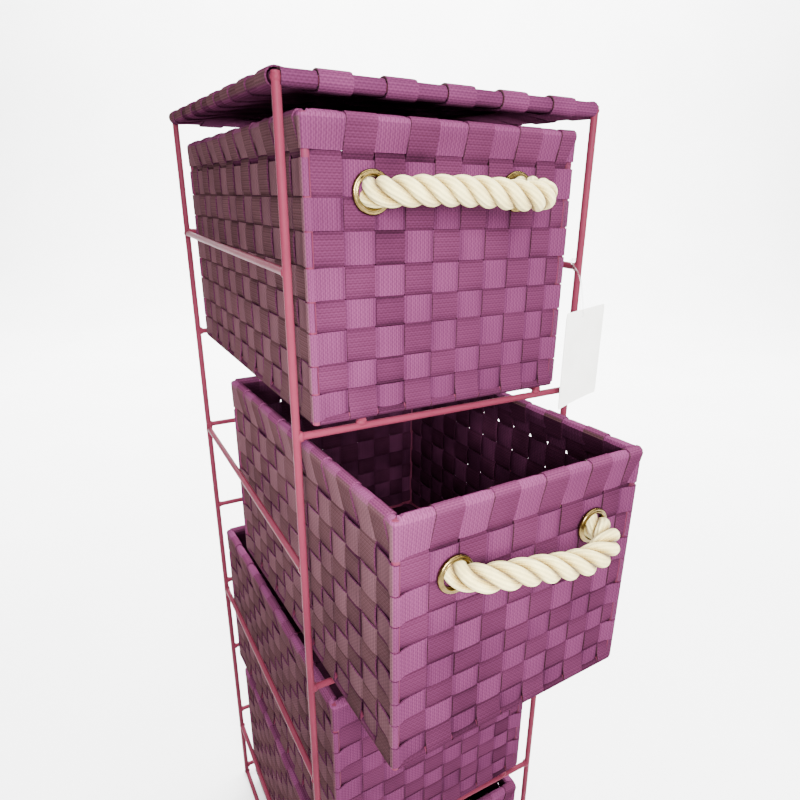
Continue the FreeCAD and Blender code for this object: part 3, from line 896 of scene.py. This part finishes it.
# ------------------------------------------------------------------ woven top
def woven_top():
    bld = Build()
    r_ = np.random.default_rng(7)
    nx, ny = 11, 15
    t, amp = 0.8, 0.7
    lowr = 3.3
    lift_z = 1.3

    def set_of(count, other, across, run, half_a, half_r, first_over, mat, highr, inner):
        across, run = np.array(across, float), np.array(run, float)
        pitch, length = 2 * half_a / count, 2 * half_r
        width = pitch * 0.985
        cell = length / other
        for c in range(count):
            base = across * (-half_a + (c + 0.5) * pitch) - run * half_r
            signs = [1.0 if (c + j + first_over) % 2 == 0 else -1.0 for j in range(other)]
            path, nor, pil, glow = [], [], [], []
            ra = highr if signs[0] > 0 else lowr
            rz = highr if signs[-1] > 0 else lowr
            # folded end under the front, then round the ring wire; painted shade on the folded end underneath, painted
            # highlight where the strap rounds the ring wire
            for q in (2.3, 1.8, 1.3, 0.8, 0.4):
                x = q * cell
                w = smooth(x / (1.6 * cell))
                zz = -(ra * (1 - w) + 0.9 * w)
                path.append(np.array((*(base + run * x), zz))); nor.append(np.array((0, 0, -1.0))); pil.append(0); glow.append(-0.9)
            for a in (0.0, 0.17, 0.34, 0.5, 0.66, 0.83):
                th = math.pi * a
                d2 = -run * math.sin(th)
                path.append(np.array((*(base + d2 * ra), -ra * math.cos(th)))); nor.append(np.array((*d2, -math.cos(th)))); pil.append(0.0); glow.append((1.0 if ra == highr else 0.5) if a > 0.2 else -0.4)
            d, o = weave_run([length * j / other for j in range(other + 1)], signs, amp)
            o2 = edge_pull(d, o + lift_z, length, ra, rz, 12.0)
            for x, y, e in zip(d, o2, o):
                # painted highlight where the strap bows up, painted shade where it dives
                path.append(np.array((*(base + run * x), y))); nor.append(np.array((0, 0, 1.0))); pil.append(0.3 * e / amp); glow.append(max(e / amp, min(0.8, (y - lift_z - amp) / 1.5)))
            for a in (0.17, 0.34, 0.5, 0.66, 0.83, 1.0):
                th = math.pi * a
                d2 = run * math.sin(th)
                path.append(np.array((*(base + run * length + d2 * rz), rz * math.cos(th)))); nor.append(np.array((*d2, math.cos(th)))); pil.append(0.0); glow.append((1.0 if rz == highr else 0.5) if a < 0.8 else -0.4)
            for q in (0.4, 0.8, 1.3, 1.8, 2.3):
                x = q * cell
                w = smooth(x / (1.6 * cell))
                zz = -(rz * (1 - w) + 0.9 * w)
                path.append(np.array((*(base + run * (length - x)), zz))); nor.append(np.array((0, 0, -1.0))); pil.append(0); glow.append(-0.9)
            strap(bld, np.array(path) + np.array((0, 0, TOP_Z)), nor, pil, (*across, 0), width, t, mat, float(np.clip(r_.normal(0.5, 0.16), 0.1, 0.9)), glow=glow, inner=inner)

    set_of(nx, ny, (1, 0), (0, 1), HALF_X - 1.2, HALF_Y, 1, 0, 4.4, 0)
    set_of(ny, nx, (0, 1), (1, 0), HALF_Y - 1.2, HALF_X, 0, 1, 4.05, 1)
    # strap ends tucked round the side wires of the ring
    for sx in (-1, 1):
        bld.tube([(sx * HALF_X, y, TOP_Z) for y in np.linspace(-HALF_Y + 0.6, HALF_Y - 0.6, 9)], 2.8, sides=18, mat=1, tone=-0.1)
    for part in bld.v:
        part[:, 2] += TOP_RISE * (part[:, 1] + HALF_Y) / (2 * HALF_Y)
    ob = bld.make("top_weave", [MAT_STRAP_ACROSS_LIT, MAT_STRAP_ALONG_SHADED], sharp=40)
    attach(ob, "stand")
    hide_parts("woven_top")


woven_top()

# ------------------------------------------------------------------ welds of the stand
wb = Build()
SIDE_Z = {-1: [(567.4, 571.7), (406.6, 408.2), (250.0, 241.5), (72.0, 69.0)], 1: [(562.7, 566.5), (406.6, 408.2), (250.0, 241.5), (72.0, 69.0)]}
for i in range(4):
    f, b = FRONT[i], FRONT[i] + 7.8
    for sx in (-1, 1):
        wb.blob((sx * (HALF_X - 1.7), -HALF_Y, f), (2.9, 2.75, 2.9))
        wb.blob((sx * (HALF_X - 1.7), HALF_Y, b), (2.9, 2.75, 2.9))
        wb.blob((sx * (HALF_X - 1.7), HALF_Y, b + 79.0), (2.9, 2.75, 2.8))
        for sy in (-1, 1):
            wb.blob((sx * HALF_X, sy * (HALF_Y - 1.7), SIDE_Z[sx][i][(sy + 1) // 2]), (2.75, 2.9, 2.9))
    for x in (-54.0, 65.0):
        wb.blob((x, -HALF_Y, f + 2.0), (3.3, 2.5, 2.3))
        wb.blob((x, HALF_Y, f + 5.9), (3.3, 2.5, 2.3))
for sx in (-1, 1):
    for sy in (-1, 1):
        wb.blob((sx * HALF_X, sy * HALF_Y, TOP_Z + TOP_RISE * (sy + 1) / 2 - 0.4), (2.5, 2.5, 2.6), noise=0.05, rings=12, seg=18)
        wb.blob((sx * HALF_X, sy * (HALF_Y - 1.7), 2.6), (2.7, 2.9, 2.5))
ob = wb.make("stand_welds", [MAT_STAND])
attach(ob, "stand")

# ------------------------------------------------------------------ tag card: slight curl, turned as it hangs
cb = Build()
CARD_W, CARD_H, CARD_T, CARD_X0, CARD_Y, CARD_Z0 = 52.0, 60.0, 0.5, 76.5, -129.9, 477.0
turn = math.radians(20.0)


def on_card(along, out, z):
    return (CARD_X0 + along * math.cos(turn) + out * math.sin(turn), CARD_Y + along * math.sin(turn) - out * math.cos(turn), z)


I, J = 27, 19
mid, uv = [], []
for a in np.linspace(0, 1, I):
    row, ru = [], []
    for b in np.linspace(0, 1, J):
        e = min(a, 1 - a) * CARD_H
        inset = 0.8 - math.sqrt(max(0.0, 0.64 - (0.8 - e) ** 2)) if e < 0.8 else 0.0
        along = inset + b * (CARD_W - 2 * inset)
        row.append(on_card(along, 0.9 * (2 * b - 1) ** 2 * (0.35 + 0.65 * a) - 0.2 * a - CARD_T / 2, CARD_Z0 + (1 - a) * CARD_H))
        ru.append((a * CARD_H * MM, b * CARD_W * MM))
    mid.append(row)
    uv.append(ru)
cb.grid(mid, uv, 0.45)
cb.lathe([(1.2, -0.28), (1.2, 0.28), (1.5, 0.34), (2.0, 0.28), (2.1, 0.0), (2.0, -0.28), (1.5, -0.34)], on_card(20.8, -CARD_T / 2, 532.0),
         (math.sin(turn), -math.cos(turn), 0), seg=32)
ob = cb.make("tag_blank_card", [MAT_CARD], sharp=40)
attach(ob, "swing_tag")
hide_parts("swing_tag_card")

# ------------------------------------------------------------------ materials of the CAD nodes that stay
for name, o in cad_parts.items():
    if "wire_cage" in name:
        m = MAT_CAGE
    elif name == "swing_tag_loop":
        m = MAT_NYLON
    elif "eyelets" in name:
        m = MAT_BRASS
    elif "rope" in name:
        m = MAT_ROPE
    elif "woven" in name:
        m = MAT_STRAP_ACROSS_LIT
    elif name == "swing_tag_card":
        m = MAT_CARD
    else:
        m = MAT_STAND
    o.data.materials.clear()
    o.data.materials.append(m)

# ------------------------------------------------------------------ floor and light
fm, nt, b = new_mat("studio_floor")
tc = nt.nodes.new("ShaderNodeTexCoord")
fn = node(nt, "ShaderNodeTexNoise", Scale=3.0, Detail=3.0)
nt.links.new(tc.outputs["Object"], fn.inputs["Vector"])
fc = ramp(nt, fn.outputs["Fac"], [(0.3, (0.88, 0.88, 0.88)), (0.7, (0.92, 0.92, 0.92))])
nt.links.new(fc.outputs["Color"], b.inputs["Base Color"])
b.inputs["Roughness"].default_value = 0.9
# a floor that sweeps up into a wall behind the object, seen from the camera
run = Vector((AX[2][0], AX[2][1], 0)).normalized()
wide = Vector((-run.y, run.x, 0))
prof = [(-7.0, 0.0), (2.2, 0.0)] + [(2.2 + 1.2 * math.sin(a), 1.2 - 1.2 * math.cos(a)) for a in np.linspace(0.1, math.pi / 2, 14)] + [(3.4, 6.0)]
verts = [tuple(run * d + wide * sgn * 9.0 + Vector((0, 0, h))) for d, h in prof for sgn in (1, -1)]
me = bpy.data.meshes.new("studio_floor")
me.from_pydata(verts, [], [(2 * k, 2 * k + 1, 2 * k + 3, 2 * k + 2) for k in range(len(prof) - 1)])
me.polygons.foreach_set("use_smooth", np.ones(len(prof) - 1, bool))
me.materials.append(fm)
floor = bpy.data.objects.new("studio_floor", me)
bpy.context.scene.collection.objects.link(floor)


def area(name, loc, target, size, power, color=(1, 1, 1)):
    l = bpy.data.lights.new(name, "AREA")
    l.shape = "RECTANGLE"
    l.size, l.size_y = size
    l.energy = power
    l.color = color
    o = bpy.data.objects.new(name, l)
    bpy.context.scene.collection.objects.link(o)
    o.location = loc
    o.rotation_euler = (Vector(target) - Vector(loc)).to_track_quat("-Z", "Y").to_euler()


area("key_light", (-0.2, -0.66, 0.72), (0, -0.12, 0.52), (0.3, 0.3), 18.5)
area("right_light", (0.75, -1.6, 0.5), (0, -0.12, 0.45), (0.8, 0.8), 14.0)
area("top_light", (0.3, -0.5, 2.4), (0, 0, 0.3), (1.6, 1.6), 70.0)
area("floor_light", tuple(run * 1.7 + Vector((0, 0, 2.5))), tuple(run * 1.75), (4.0, 2.0), 420.0)
area("wall_light", tuple(run * 1.0 + Vector((0, 0, 3.0))), tuple(run * 3.4 + Vector((0, 0, 1.2))), (6.0, 0.8), 560.0)
glow = bpy.data.lights.new("front_glow", "SPOT")
glow.energy, glow.spot_size, glow.spot_blend, glow.shadow_soft_size = 84.0, math.radians(20), 1.0, 0.08
glow_ob = bpy.data.objects.new("front_glow", glow)
bpy.context.scene.collection.objects.link(glow_ob)
glow_ob.location = (-0.34, -0.72, 0.60)
glow_ob.rotation_euler = (Vector((-0.077, -0.126, 0.484)) - glow_ob.location).to_track_quat("-Z", "Y").to_euler()
w = bpy.data.worlds.new("studio")
bpy.context.scene.world = w
w.use_nodes = True
w.node_tree.nodes["Background"].inputs["Color"].default_value = (1, 1, 1, 1)
w.node_tree.nodes["Background"].inputs["Strength"].default_value = 0.38
